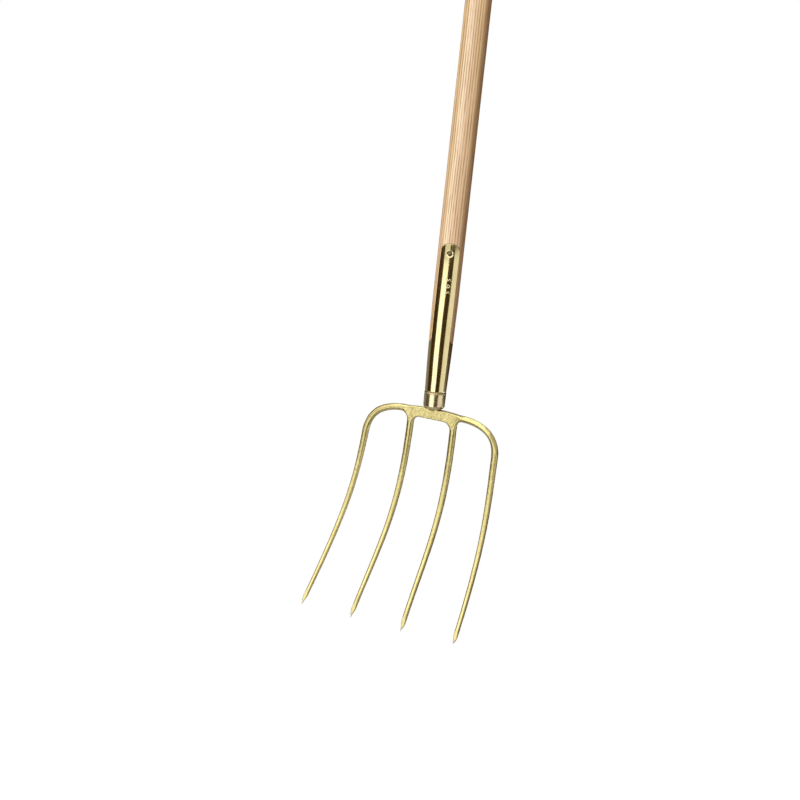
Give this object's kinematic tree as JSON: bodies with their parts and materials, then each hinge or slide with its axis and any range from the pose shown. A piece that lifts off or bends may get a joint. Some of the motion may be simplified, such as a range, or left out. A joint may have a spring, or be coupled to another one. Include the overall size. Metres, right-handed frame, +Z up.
{
  "type": "manure fork",
  "caption": "Long-handled fork with slender curved tines on a forged head, a strapped metal socket and a straight ash shaft.",
  "frame": {"origin": "on the shaft's axis, at the flat underside of the web between the two inner tines", "axes": "+Z up the shaft, with the tines hanging down below the origin; +X across the tines; -Y to the front, the way the tines curve"},
  "size_m": [0.2334, 0.1324, 1.6367],
  "materials": {
    "forged_head": "gold lacquer over a forged surface, satin",
    "socket_sheet": "gold lacquer over smooth drawn sheet, glossy",
    "collar": "pale gold lacquer over polished steel, glossy",
    "rivet": "lacquered steel, satin",
    "ash": "sanded ash, fine straight grain, matt"
  },
  "bodies": {
    "root": {"fork_head": "forged_head", "end_collar": "collar", "socket_front": "socket_sheet", "socket_back": "socket_sheet", "strap_rivet": "rivet", "shaft": "ash"}
  },
  "joints": []
}
